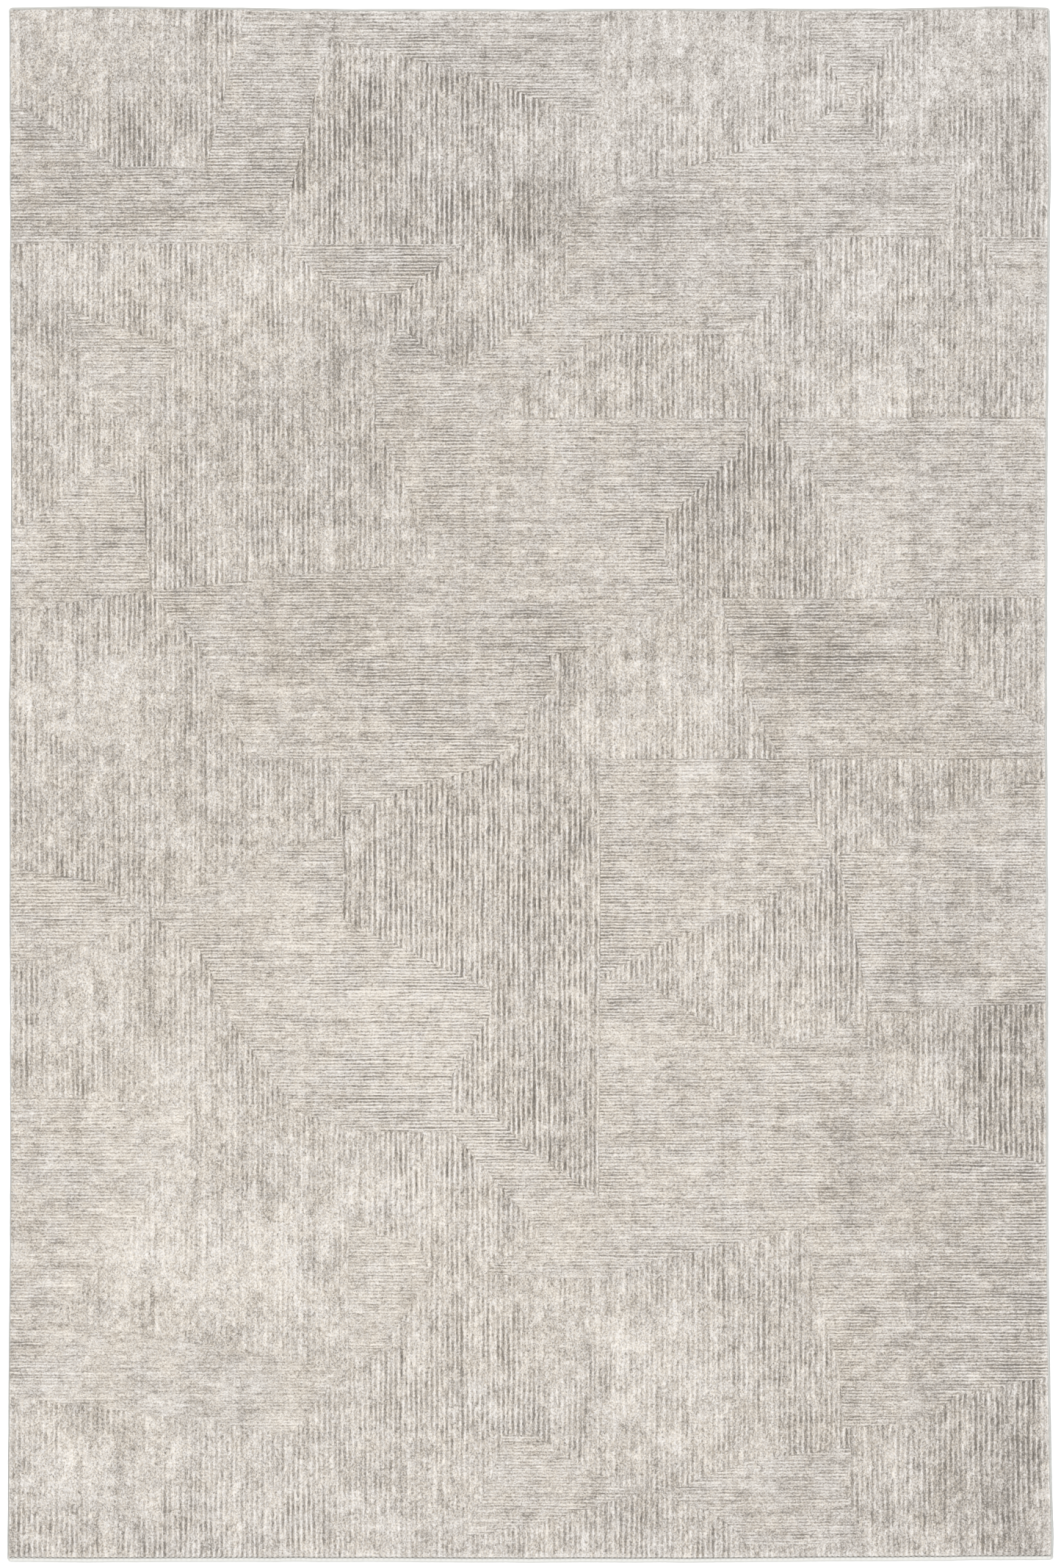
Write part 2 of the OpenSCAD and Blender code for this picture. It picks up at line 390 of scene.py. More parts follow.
class Finish:
    """A finish: it makes its material once and gives the same one after that."""

    _made: dict[str, Material] = {}

    def material(self) -> Material:
        """Gives the finish's material.

        Returns:
            The one material that every piece with this finish shares.
        """
        key = repr(self)
        if key not in Finish._made:
            Finish._made[key] = self.build()
        return Finish._made[key]

    def build(self) -> Material:
        """Makes the material; each finish has its own."""
        raise NotImplementedError


class RibRun(Enum):
    """Which way a field's ribs run."""

    ALONG = "long"
    ACROSS = "cross"


@dataclass(frozen=True)
class PileYarn(Finish):
    """Heathered greige pile yarn, which reads its rib, tone, clearness and warmth from the vertices, with a
    painted highlight along its rib crests and painted shade in its gutters, its gaps between tufts and at
    its foot.
    """

    run: RibRun  # the way the ribs run, and so the way its tufts are drawn out
    tuft: float = 1.45 * MM  # size of one tuft across the rib, in metres
    drawn_out: float = 1.3  # how much longer than wide a tuft is
    speck: float = 0.58  # how far single tufts stray from the field's tone
    fleck: float = 0.52  # how far the finest fibres stray from it
    gap_shade: float = 0.32  # painted shade: how much darker the small gaps between tufts are
    hue: float = 1.7  # how far single tufts stray from the field's warmth
    crest_highlight: float = 0.27  # painted highlight: how much paler the line of tufts along a clear rib's top is
    gutter: float = 0.26  # painted shade and darker yarn: how much darker the yarn is down in a clear gutter
    shade: float = 0.3  # painted shade: how much darker it is at the pile's foot
    wobble: float = 0.34  # how far a rib's line wanders, as a share of its pitch
    bend: float = 8 * MM  # the length over which it wanders, in metres

    def build(self) -> Material:
        """Builds the yarn from tufts, fibres, and the ribs that the mesh carries, with their painted
        highlights and painted shade.

        Returns:
            The material.
        """
        g = Graph(f"{self.run.value}_rib_pile")
        along = self.run is RibRun.ALONG
        slim = 1 / self.drawn_out
        slimmer = slim / 2.2
        own = g.own((1.0, slim, 1.0) if along else (slim, 1.0, 1.0))
        streaks = g.own((1.0, slimmer, 1.0) if along else (slimmer, 1.0, 1.0))
        tufts, hues = g.cells(own, 1 / self.tuft)
        fibre = g.noise(own, 0.8 / self.tuft)
        # the small gaps between tufts: sunk by the bump, and darkened by painted shade
        gaps = g.rise(g.noise(own, 0.42 / self.tuft, 3.0), 0.52, 0.72)
        dashes = g.rise(g.noise(streaks, 0.5 / self.tuft), 0.36, 0.62)
        wander = g.noise(g.own(), 1 / self.bend, 1.0)
        rib = g.total(g.attribute("rib"), (g.centred(wander), self.wobble))
        off = g.math("PINGPONG", rib, 0.5)
        # ridge: the line along each rib's top where the painted highlight lies
        ridge = g.math("SUBTRACT", g.rise(off, 0.27, 0.46), 0.28)
        # the gutter lines, darkened by painted shade together with the yarn's own darker colour down there
        gutter_shade_and_dark_yarn = g.math("MULTIPLY", g.rise(off, 0.24, 0.03), dashes)
        clear = g.attribute("clear")
        # the yarn's tone, with the painted highlight and the painted shade added in
        tone = g.total(
            g.attribute("tone"), (g.centred(tufts), self.speck), (g.centred(fibre), self.fleck),
            (gaps, -self.gap_shade), (g.math("MULTIPLY", ridge, clear), self.crest_highlight),
            (g.math("MULTIPLY", gutter_shade_and_dark_yarn, clear), -self.gutter), (g.attribute("deep"), -self.shade),
        )
        yarn = g.ramp(tone, {
            0.0: (130, 124, 117), 0.2: (158, 152, 144), 0.4: (186, 179, 171),
            0.58: (206, 200, 193), 0.76: (222, 217, 211), 1.0: (238, 234, 229),
        })
        warm = g.total(g.attribute("warm"), (g.centred(hues), self.hue))
        warm = g.add("Clamp", {"Value": warm}).outputs[0]
        tint = g.mixed(warm, (0.971, 0.98, 1.0, 1), (1.0, 0.971, 0.917, 1))
        yarn = g.mixed(1.0, yarn, tint, "MULTIPLY")
        height = g.total(0.0, (tufts, 0.5), (fibre, 0.8), (gaps, -0.5))
        return g.close(
            Base_Color=yarn, Roughness=0.95, Normal=g.bump(height, 0.8 * MM, 0.6),
            Sheen_Weight=0.1, Sheen_Roughness=0.6, Specular_IOR_Level=0.15,
        )


@dataclass(frozen=True)
class WoundThread(Finish):
    """Pale thread laid in tight turns, with painted shade darkening the valleys between them."""

    name: str  # the material's name
    light: Colour = (222, 222, 217)  # its colour on top of a turn, out of the painted shade
    dark: Colour = (150, 152, 147)  # its painted shade colour down between two turns
    ply: float = 0.5 * MM  # size of the fibre streaks along the thread, in metres

    def build(self) -> Material:
        """Builds the thread from painted shade in its valleys and a fine fibre noise.

        Returns:
            The material.
        """
        g = Graph(self.name)
        fibre = g.noise(g.own((0.35, 1.0, 1.0)), 1 / self.ply)
        soil = g.noise(g.own(), 40.0)
        # share runs from the lit thread at 0 to its painted shade at 1; the gutter attribute carries the
        # shade
        share = g.total(g.attribute("gutter"), (g.centred(fibre), 0.5), (g.centred(soil), 0.3))
        colour = g.ramp(share, {0.0: self.light, 1.0: self.dark})
        return g.close(
            Base_Color=colour, Roughness=0.8, Normal=g.bump(fibre, 0.15 * MM),
            Sheen_Weight=0.1, Sheen_Roughness=0.5, Specular_IOR_Level=0.25,
        )


# each thread's second colour is its painted shade
SEWING_THREAD = WoundThread("sewing_thread", (240, 238, 232), (180, 177, 170))
TACK_THREAD = WoundThread("tack_thread", (226, 225, 220), (160, 158, 152))


@dataclass(frozen=True)
class TwillTape(Finish):
    """Pale woven tape with slanting twill lines."""

    name: str  # the material's name
    light: Colour  # its colour on top of a twill line
    dark: Colour  # its colour between two lines, and the painted shade colour that the gutter attribute mixes in
    pitch: float = 1.4 * MM  # distance between twill lines, in metres
    fibre: float = 0.6 * MM  # size of its fibres, in metres

    def build(self) -> Material:
        """Builds the tape from slanting bands and a fibre noise.

        Returns:
            The material.
        """
        g = Graph(self.name)
        slanted = g.own(turn=(0.0, math.radians(35), math.radians(35)))
        bands = g.bands(slanted, WAVE_SCALE / self.pitch, "X", Distortion=1.2, Detail=2.0, Detail_Scale=2.0)
        fibre = g.noise(g.own(), 1 / self.fibre)
        # the gutter attribute brings in painted shade
        share = g.total(g.attribute("gutter"), (bands, 0.45), (fibre, 0.4))
        colour = g.ramp(share, {0.1: self.light, 1.0: self.dark})
        height = g.math("SUBTRACT", 1.0, bands)
        return g.close(
            Base_Color=colour, Roughness=0.85, Normal=g.bump(height, 0.25 * MM),
            Sheen_Weight=0.1, Sheen_Roughness=0.5, Specular_IOR_Level=0.2,
        )


@dataclass(frozen=True)
class BackWeave(Finish):
    """A plain weave of two sets of yarns, for the ground and for the back through its coat."""

    name: str  # the material's name
    warp: Colour  # colour of the yarns along the rug
    weft: Colour  # colour of the yarns across it
    pitch: float = 2.5 * MM  # distance between yarns, in metres
    rough: float = 0.9  # how matt it is
    fibre: float = 0.9 * MM  # size of its fibres, in metres

    def build(self) -> Material:
        """Builds the weave from two crossing sets of bands that pass over each other in turn.

        Returns:
            The material.
        """
        g = Graph(self.name)
        own, scale = g.own(), WAVE_SCALE / self.pitch
        looks = {"Distortion": 0.35, "Detail": 1.0, "Detail_Scale": 1.5}
        along, across = (g.bands(own, scale, axis, **looks) for axis in "XY")
        check = g.add("TexChecker", {"Vector": own, "Scale": 1 / self.pitch}).outputs["Fac"]
        fibre = g.noise(own, 1 / self.fibre, 3.0)
        cloud = g.noise(own, 9.0, 3.0)
        over = g.total(0.0, (check, 0.7), (fibre, 0.3))
        yarn = g.mixed(over, linear(self.warp), linear(self.weft))
        dim = g.total(0.72, (fibre, 0.28), (cloud, 0.28))
        yarn = g.mixed(1.0, yarn, g.grey(dim), "MULTIPLY")
        height = g.total(g.math("MAXIMUM", along, across), (fibre, 0.4))
        return g.close(
            Base_Color=yarn, Roughness=self.rough, Normal=g.bump(height, 0.4 * MM),
            Specular_IOR_Level=0.2,
        )


@dataclass(frozen=True)
class TwistedCord(Finish):
    """A cord of bundled warp ends with a slow twist."""

    colour: Colour = (190, 186, 176)  # colour on top of a strand
    shadow: Colour = (140, 134, 122)  # colour between strands

    def build(self) -> Material:
        """Builds the twist from slanting bands along the cord.

        Returns:
            The material.
        """
        g = Graph("cord")
        bands = g.bands(g.own(turn=(0.6, 0.0, 0.0)), 120.0, "Y", Distortion=0.6)
        colour = g.ramp(bands, {0.0: self.shadow, 1.0: self.colour})
        return g.close(Base_Color=colour, Roughness=0.9, Normal=g.bump(bands, 0.2 * MM))


@dataclass(frozen=True)
class StudioFloor(Finish):
    """A pale, even studio floor."""

    colour: float = 0.93  # share of the light that it reflects
    uneven: float = 0.008  # how far that strays

    def build(self) -> Material:
        """Builds a matt pale surface with the faintest unevenness.

        Returns:
            The material.
        """
        g = Graph("studio_floor")
        cloud = g.noise(g.own(), 1.5)
        shade = g.total(self.colour - self.uneven / 2, (cloud, self.uneven))
        return g.close(Base_Color=g.grey(shade), Roughness=1.0, Specular_IOR_Level=0.0)


# --- how the rug lies ---


@dataclass(frozen=True)
class Bed:
    """The pile bed and the layers under it, as the frame has them."""

    half_w: float  # half the bed's width, in metres
    half_l: float  # half the bed's length, in metres
    ground: float  # height of the ground's top, in metres
    block: float  # side of one block of the design grid, in metres
    edge_w: float  # distance from the middle to the serging's outside
    edge_l: float  # distance from the middle to the hem's outside

    @staticmethod
    def of_frame(blocks_wide: int = 16) -> "Bed":
        """Measures the bed from the frame's nodes.

        Args:
            blocks_wide: blocks of the design across the bed.

        Returns:
            The bed's sizes.
        """
        fields = [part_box(n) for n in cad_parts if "_rib_field_" in n]
        half_w = max(high.x for _, high in fields)
        half_l = max(high.y for _, high in fields)
        ground = min(low.z for low, _ in fields)
        low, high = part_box("end_hem_top")
        return Bed(half_w, half_l, ground, 2 * half_w / blocks_wide, high.x, high.y)


@dataclass(frozen=True)
class Lie:
    """How the cut cloth strays from a true rectangle, edge by edge.

    Each edge is a row of (place, stray): the place from -1 to 1 along the edge, towards +X or +Y,
    and how far out of the true rectangle it lies there, in millimetres.
    """

    bed: Bed  # the pile bed
    # the left side's stray
    left: Stray = (
        (-1.0, 6.0), (-0.8, 4.3), (-0.55, 1.6), (-0.12, 2.4), (0.1, 3.2), (0.33, 0.4), (0.6, 1.7),
        (1.0, 2.7),
    )
    # the right side's stray, which flares at the bottom corner
    right: Stray = (
        (-1.0, 9.2), (-0.97, 10.3), (-0.88, 7.3), (-0.78, 5.7), (-0.58, 2.6), (-0.12, 1.4), (0.1, 0.4),
        (0.33, 0.4), (0.56, 2.6), (0.78, 5.8), (0.95, 6.0), (1.0, 4.0),
    )
    # the top end's stray
    top: Stray = (
        (-1.0, -0.5), (-0.85, 1.7), (-0.68, 0.6), (-0.34, -2.6), (0.0, -2.6), (0.34, -1.6), (0.68, -1.5),
        (0.85, 0.6), (0.93, 1.5), (1.0, -0.6),
    )
    # the bottom end's stray
    bottom: Stray = (
        (-1.0, 0.0), (-0.85, 1.1), (-0.68, 0.0), (-0.34, 0.0), (0.0, 1.1), (0.34, 1.1), (0.68, -1.1),
        (0.85, -2.2), (1.0, -2.8),
    )
    wander: float = 0.35 * MM  # how far an edge wavers between those places, in metres
    corner: float = 5 * MM  # radius of the rug's corners, in metres

    def moved(self, co: Array) -> Array:
        """Moves places from the true rectangle to where the cloth has them.

        Args:
            co: rows of X, Y and Z.

        Returns:
            The moved rows.
        """
        x, y = co[:, 0], co[:, 1]
        s, t = x / self.bed.edge_w, y / self.bed.edge_l
        waver_x = self.wander * Noise(11, 1.0, 0.04).at(np.sign(x), y)
        waver_y = self.wander * Noise(13, 0.04, 1.0).at(x, np.sign(y))
        out_x = np.where(x > 0, self._stray(self.right, t), self._stray(self.left, t)) + waver_x
        out_y = np.where(y > 0, self._stray(self.top, s), self._stray(self.bottom, s)) + waver_y
        past_x = np.maximum(np.abs(x) - self.bed.edge_w + self.corner, 0)
        past_y = np.maximum(np.abs(y) - self.bed.edge_l + self.corner, 0)
        cut = 1 - np.maximum(past_x, past_y) / np.maximum(np.hypot(past_x, past_y), 0.001 * MM)
        out = co.copy()
        out[:, 0] += np.sign(x) * (np.abs(s) ** 5 * out_x - past_x * np.where(past_y > 0, cut, 0))
        out[:, 1] += np.sign(y) * (np.abs(t) ** 9 * out_y - past_y * np.where(past_x > 0, cut, 0))
        return out

    def lay(self, piece: Object, co: Array, slot: str, node: str) -> Object:
        """Lays a piece as the cloth lies, and settles it in place of its node.

        Args:
            piece: the finished piece.
            co: rows of X, Y and Z on a true rectangle, one a vertex.
            slot: not used.
            node: the node that it stands for.

        Returns:
            The same piece.
        """
        put_places(piece.data, self.moved(co))
        return settle(piece, node)

    @staticmethod
    def _stray(edge: Stray, place: Array) -> Array:
        """Gives an edge's stray in metres at places along it."""
        known, stray = zip(*edge)
        return np.interp(place, known, stray) * MM


# --- pile ---


class Edge(Enum):
    """How a patch of tone ends."""

    SOFT = "soft"
    SQUARE = "square"


@dataclass(frozen=True)
class Patch:
    """A patch of the pile with its own tone or rib strength, in blocks from the bed's middle."""

    x: float  # its middle across the rug
    y: float  # its middle along the rug
    wide: float  # half its width
    long: float  # half its length
    shift: float  # what it adds
    edge: Edge = Edge.SOFT  # how it ends

    def at(self, u: Array, v: Array, ragged: Array) -> Array:
        """Gives what the patch adds at places in blocks, its edge pushed about by ragged noise.

        Args:
            u: places across the rug, in blocks.
            v: places along it, in blocks.
            ragged: noise at each place.

        Returns:
            One value for each place.
        """
        du, dv = np.abs(u - self.x) / self.wide, np.abs(v - self.y) / self.long
        far = np.hypot(du, dv) if self.edge is Edge.SOFT else np.maximum(du, dv)
        fade = 0.55 if self.edge is Edge.SOFT else 0.12
        return self.shift * (1 - smoothstep(1 - fade, 1 + fade, far + 0.4 * ragged))


def patches(*rows: tuple) -> tuple[Patch, ...]:
    """Makes a patch of each row: x, y, wide, long, shift, and edge where it isn't soft."""
    return tuple(Patch(*row) for row in rows)


SQUARE = Edge.SQUARE
DARKER = patches(
    (0.3, 8.9, 0.7, 0.6, -0.17), (1.9, 9, 0.7, 0.25, -0.15), (7.5, 9.4, 0.4, 1, -0.1),
    (7, 10, 0.5, 0.4, -0.06), (-1, 6.9, 0.7, 0.4, -0.09), (2.8, 3.9, 0.45, 0.9, -0.14),
    (3.7, 5.2, 0.3, 0.5, -0.14), (-3.4, 2.4, 1.1, 0.6, -0.12), (0.3, 2.1, 0.6, 0.6, -0.17),
    (4.4, 2.1, 1.1, 0.6, -0.22), (7.1, 0.3, 0.8, 0.4, -0.1), (5.3, -0.1, 0.6, 0.4, -0.08),
    (0.4, -1.4, 0.7, 1.7, -0.1), (-0.8, -3, 0.6, 0.25, -0.11), (0.4, -4.7, 0.6, 1, -0.1),
    (0.8, -5.8, 0.4, 0.5, -0.1), (7.4, -4.5, 0.5, 1.3, -0.18), (5.2, -5.8, 0.6, 1.2, -0.08),
    (7.3, -11, 0.9, 1.1, -0.12), (7.6, -9.4, 0.4, 2.4, -0.12), (1.4, -3.4, 0.35, 0.25, -0.13),
    (-1, 11.3, 0.7, 0.6, -0.07), (-5.8, 9.3, 2.1, 0.8, -0.09), (-3, 10.5, 0.5, 0.7, -0.06),
    (-7.3, 7.1, 0.5, 0.5, -0.09), (-7.6, 5, 0.3, 0.6, -0.1), (-3, 6.6, 0.4, 0.3, -0.06),
    (-3.6, 5.4, 1.5, 1, -0.05), (7.4, 6.3, 0.5, 0.5, -0.09), (-7.2, -6.8, 0.7, 0.3, -0.12),
    (6.5, -8, 0.5, 0.3, -0.1), (-4.3, -4.7, 0.3, 0.3, -0.09), (5.9, -11.3, 0.5, 0.3, -0.08),
    (7, 2.5, 0.4, 0.4, -0.07), (-4, 9, 4.6, 3.4, -0.03), (6.8, -9, 1.6, 3, -0.03), (7, -1, 1.4, 5, -0.04),
    (6.6, -5.8, 1.7, 3.4, -0.07), (6.4, 9.3, 2.6, 2.6, -0.04), (4, 3.6, 0.35, 1.6, -0.06),
)
LIGHTER = patches(
    (3, 10.8, 2, 1.1, 0.035), (5.9, 10.9, 0.3, 0.9, 0.09), (5.4, 8, 0.75, 0.7, 0.1, SQUARE),
    (-4.3, 8, 0.8, 0.7, 0.08, SQUARE), (-6.8, 7.9, 1, 0.5, 0.07), (2.2, 1.1, 1.2, 0.9, 0.08, SQUARE),
    (5.3, 6.1, 1.1, 0.5, 0.09, SQUARE), (5.2, 3.4, 0.6, 0.7, 0.08), (-5, -7.4, 2, 0.8, 0.11, SQUARE),
    (-2.2, -3.2, 1.7, 1.1, 0.08), (2.6, -1.8, 1.6, 1.2, 0.04), (3.5, -3.2, 1.2, 1, 0.04),
    (1.6, -9.1, 0.5, 1, 0.1, SQUARE), (2.7, -9.5, 0.7, 0.9, 0.07), (6, -4.5, 0.5, 0.5, 0.13),
    (-2.2, -6.6, 0.8, 1, 0.07), (-5.3, -4.7, 0.6, 0.7, 0.09), (-6.9, 1.2, 1, 0.9, 0.06),
    (-7.1, -10.6, 0.7, 0.5, 0.08), (-4.7, -10.6, 1, 0.7, 0.07), (5.8, -10.5, 0.3, 0.7, 0.08),
    (4.7, -0.7, 0.4, 0.3, 0.05), (-5.3, 9.7, 0.25, 0.4, 0.1), (-0.6, 7.5, 0.6, 0.4, 0.05),
    (-2.6, -6, 4.6, 6, 0.03), (-6.3, -8.9, 1.2, 0.4, 0.05), (-2.4, -10.6, 2.4, 1.6, 0.03),
    (-5.3, 6.3, 0.3, 0.5, 0.07),
)
WORN = patches(
    (-7, 11.4, 1, 0.6, -0.8), (-6.6, 1.3, 1, 0.9, -0.8), (-7, -3.3, 0.8, 0.7, -0.7),
    (-6, -8, 1, 0.6, -0.8), (-6.5, -10.8, 1, 0.7, -0.7), (2.6, 11.3, 1.2, 0.7, -0.6),
    (7, 11.3, 0.8, 0.7, -0.6), (-3, 6.5, 0.7, 0.6, -0.5), (0.5, -8.6, 0.6, 1, -0.5),
)
CRISP = patches(
    (-1, -3, 2.2, 3.6, 0.45), (3.4, 4.2, 1.4, 1.5, 0.4), (4.4, -2.3, 1, 1, 0.4),
    (6.8, -4.6, 1.1, 1.2, 0.3), (-1.5, 9.6, 1.8, 1.6, 0.3), (-1, -9.4, 1.2, 1.6, 0.3),
    (3.4, -9, 1.6, 1.4, 0.25), (-6.8, -11.2, 1.2, 0.8, 0.2),
)


@dataclass(frozen=True)
class RibPattern:
    """One kind of rib: its size, and how finely it is modelled."""

    run: RibRun  # which way the ribs run
    pitch: float  # distance from rib to rib, in metres
    samples: int  # grid lines in one pitch
    step: float  # grid spacing along the rib, in metres
    depth: float  # how deep the gutter between two full ribs is, in metres
    narrow: float  # half the gutter's width as a share of the pitch
    sway: float  # how far the ribs wander sideways, in metres
    tuft: float  # how far single tufts stand up or down, in metres
    proud: float  # how far the ribs stand above the node's top, in metres
    broken: float  # how much their clearness changes from place to place along them

    def grid_step(self) -> tuple[float, float]:
        """Gives the grid's spacing along X and along Y."""
        fine = self.pitch / self.samples
        return (fine, self.step) if self.run is RibRun.ALONG else (self.step, fine)

    def turned(self, x: Array, y: Array) -> tuple[Array, Array]:
        """Gives the places as (across the ribs, along the ribs)."""
        return (x, y) if self.run is RibRun.ALONG else (y, x)

    def gutter(self, across: Array) -> Array:
        """Gives 1 in the middle of a gutter, and 0 on a rib.

        Args:
            across: places across the ribs, in metres.

        Returns:
            One value for each place.
        """
        phase = across / self.pitch
        off = np.abs(phase - np.round(phase))
        return np.exp(-((off / self.narrow) ** 2))


LONG_RIBS = RibPattern(
    RibRun.ALONG, pitch=7.9 * MM, samples=5, step=3.6 * MM, depth=3.0 * MM, narrow=0.18,
    sway=1.3 * MM, tuft=0.5 * MM, proud=0.0, broken=0.6,
)
CROSS_RIBS = RibPattern(
    RibRun.ACROSS, pitch=4.95 * MM, samples=4, step=4.2 * MM, depth=1.5 * MM, narrow=0.2,
    sway=1.2 * MM, tuft=0.45 * MM, proud=0.5 * MM, broken=0.25,
)


@dataclass(frozen=True)
class PileDesign:
    """The tone and relief of the whole pile, field after field."""

    bed: Bed  # the pile bed
    middle: float = 0.55  # the tone of plain pile
    border: float = 5 * MM  # how far in from the bed's edge the pile rounds down, in metres
    border_drop: float = 0.3  # how much of its height it loses there
    rim: float = 10 * MM  # how far in from the right and bottom edges the pile is paler, in metres
    rim_light: float = 0.18  # how much paler it gets there
    dense: float = 1.6  # how much clearer the ribs are in a dark patch, for its darkness
    # how far the pile leans out over the left, right, top and bottom edges, in metres
    lean: tuple[float, float, float, float] = (2.6 * MM, 1.0 * MM, 4.0 * MM, 0.0)

    def _summed(self, rows: tuple[Patch, ...], rib: RibPattern, x: Array, y: Array) -> Array:
        """Adds up patches, their edges frayed along the ribs.

        Args:
            rows: the patches.
            rib: the field's ribs.
            x: places across the rug.
            y: places along it.

        Returns:
            Their sum at each place.
        """
        u, v = x / self.bed.block, y / self.bed.block
        across, along = rib.turned(x, y)
        ragged = 0.9 * Noise(21, 0.045, 0.045).at(x, y) + 0.5 * Noise(22, 0.016, 0.016).at(x, y)
        ragged += 0.8 * Noise(23, 1.0, 0.05).at(np.round(across / rib.pitch - 0.5), along)
        total = np.zeros(len(x))
        for patch in rows:
            near = (np.abs(u - patch.x) < 2.2 * patch.wide) & (np.abs(v - patch.y) < 2.2 * patch.long)
            total[near] += patch.at(u[near], v[near], ragged[near])
        return total

    def clearness(self, rib: RibPattern, x: Array, y: Array) -> Array:
        """Gives how clearly the ribs show, from 0 where the pile is plain to about 1.4.

        Args:
            rib: the field's ribs.
            x: places across the rug.
            y: places along it.

        Returns:
            One value for each place.
        """
        across, along = rib.turned(x, y)
        index = np.round(across / rib.pitch)
        worn = 0.66 + 0.28 * Noise(31, 0.19, 0.19).at(x, y) + 0.3 * Noise(32, 0.06, 0.06).at(x, y)
        worn += self._summed(WORN + CRISP, rib, x, y)
        worn -= self.dense * self._summed(DARKER, rib, x, y) + 0.8 * self._summed(LIGHTER, rib, x, y)
        worn = np.clip(worn, 0.08, 1.4)
        uneven = 0.8 + 0.3 * Noise(51, 1.0, 0.08).at(index, along)
        uneven += rib.broken * Noise(52, 1.0, 0.014).at(index, along)
        return worn * np.clip(uneven, 0.05, 1.5)

    def warmth(self, x: Array, y: Array) -> Array:
        """Gives how warm the yarn is, from 0, a cool grey, to 1, beige: cooler towards the edges.

        Args:
            x: places across the rug.
            y: places along it.

        Returns:
            One value for each place.
        """
        s, t = x / self.bed.half_w, y / self.bed.half_l
        warm = 0.64 - 0.2 * s**4 - 0.35 * np.abs(t) ** 5 - 0.09 * s
        warm -= 0.6 * smoothstep(0, 1, t) * smoothstep(-2.0, 1, s)
        warm += 0.12 * Noise(71, 0.16, 0.16).at(x, y) + 0.3 * Noise(72, 0.035, 0.03).at(x, y)
        return warm + 0.22 * Noise(73, 0.012, 0.012).at(x, y)

    def tone(self, rib: RibPattern, x: Array, y: Array) -> Array:
        """Gives the yarn's tone from 0, dark taupe, to 1, pale ivory.

        Args:
            rib: the field's ribs.
            x: places across the rug.
            y: places along it.

        Returns:
            One tone for each place.
        """
        across, along = rib.turned(x, y)
        index = np.round(across / rib.pitch - 0.5)
        u, v = np.floor(2 * x / self.bed.block), np.floor(2 * y / self.bed.block)
        tone = self.middle + 0.03 * Noise(41, 0.5, 0.5).at(x, y) + 0.03 * Noise(42, 1.0, 1.0).at(u, v)
        tone += 0.05 * Noise(43, 0.007, 0.2).at(x, y) + 0.05 * Noise(40, 0.2, 0.007).at(x, y)
        tone += 0.06 * Noise(44, 0.018, 0.018).at(x, y)
        tone += 0.05 * Noise(45, 1.0, 0.12).at(index, along) + 0.06 * Noise(46, 1.0, 0.03).at(index, along)
        tone += 0.09 * Noise(49, 1.0, 0.011).at(index, along)
        tone += 0.1 * Noise(47, 1.2 * rib.pitch / rib.samples, 0.005).at(across, along)
        seam = np.abs(x / self.bed.block - np.round(x / self.bed.block)) * self.bed.block
        faint = 1 + Noise(48, 1.0, 0.2).at(np.round(x / self.bed.block), y)
        tone -= 0.05 * np.exp(-((seam / (3 * MM)) ** 2)) * faint
        inside = np.minimum(self.bed.half_w - x, self.bed.half_l + y)
        tone += self.rim_light * (1 - smoothstep(0, self.rim, inside))
        return tone + 0.65 * self._summed(DARKER, rib, x, y) + self._summed(LIGHTER, rib, x, y)

    def drop(self, rib: RibPattern, clear: Array, x: Array, y: Array) -> Array:
        """Gives how far below the field's top the pile is, in metres.

        Args:
            rib: the field's ribs.
            clear: how clearly the ribs show at each place.
            x: places across the rug.
            y: places along it.

        Returns:
            One depth for each place.
        """
        across, along = rib.turned(x, y)
        tufts = Noise(53, 1.1 * rib.pitch / rib.samples, 1.0 * rib.step).at(across, along)
        swell = 0.5 * Noise(54, 0.05, 0.05).at(x, y)
        return rib.gutter(across) * clear * rib.depth + rib.tuft * (1 + tufts + swell) * 0.6

    def rounding(self, x: Array, y: Array) -> Array:
        """Gives the share of its height that the pile keeps near the bed's edge."""
        inside = np.minimum(self.bed.half_w - np.abs(x), self.bed.half_l - np.abs(y))
        return 1 - self.border_drop * (1 - smoothstep(0, self.border, inside))

    def sway(self, x: Array, y: Array) -> tuple[Array, Array]:
        """Gives how far the weave wanders along X and Y: the same on both sides of a field's edge.

        Args:
            x: places across the rug.
            y: places along it.

        Returns:
            The moves along X and along Y.
        """
        inside = np.minimum(self.bed.half_w - np.abs(x), self.bed.half_l - np.abs(y))
        hold = smoothstep(0, 0.02, inside)
        dx = Noise(61, 0.015, 0.07).at(x, y) * LONG_RIBS.sway + Noise(62, 0.02, 0.012).at(x, y) * 0.5 * MM
        dy = Noise(63, 0.08, 0.009).at(x, y) * CROSS_RIBS.sway + Noise(64, 0.016, 0.02).at(x, y) * 0.4 * MM
        return dx * hold, dy * hold

    def leaning(self, x: Array, y: Array) -> tuple[Array, Array]:
        """Gives how far the tips of the pile lean out over each edge, along X and Y.

        Args:
            x: places across the rug.
            y: places along it.

        Returns:
            The moves along X and along Y.
        """
        wide, long = self.bed.half_w, self.bed.half_l
        loose = 1 + 0.3 * Noise(65, 0.007, 0.007).at(x, y)
        tips = [
            lean * loose * (1 - smoothstep(0, 2 * self.border, inside))
            for lean, inside in zip(self.lean, (wide + x, wide - x, long - y, long + y))
        ]
        left, right, top, bottom = tips
        return right - left, top - bottom


YARNS = {
    RibRun.ALONG: PileYarn(RibRun.ALONG),
    RibRun.ACROSS: PileYarn(RibRun.ACROSS, drawn_out=1.1, speck=0.54, hue=1.2, crest_highlight=0.45, gutter=0.2),
}


